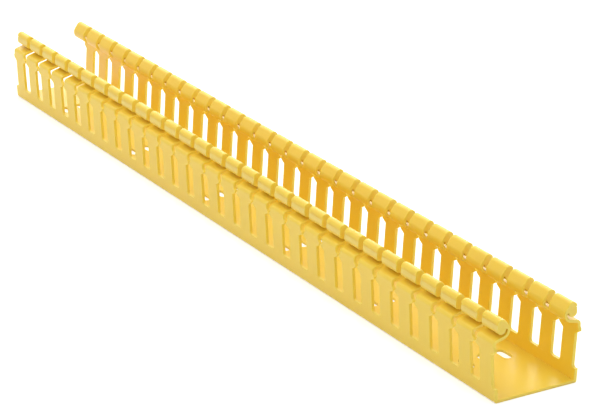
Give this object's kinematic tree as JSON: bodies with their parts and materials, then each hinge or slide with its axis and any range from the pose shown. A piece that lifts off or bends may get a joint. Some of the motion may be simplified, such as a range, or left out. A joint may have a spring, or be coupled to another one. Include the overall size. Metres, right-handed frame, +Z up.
{
  "type": "fibre optic duct",
  "caption": "Open slotted channel in yellow rigid plastic for routing fibre optic leads, with broad-headed wall fingers, rolled top edges and slotted base holes.",
  "frame": {"origin": "centre of the bottom face, on the face", "axes": "+X along the duct towards the end that is nearer in the picture, +Z up through the open mouth"},
  "size_m": [0.5974, 0.059, 0.0486],
  "materials": {
    "yellow_pvc": "satin"
  },
  "bodies": {
    "root": {"duct_channel": "yellow_pvc"}
  },
  "joints": []
}
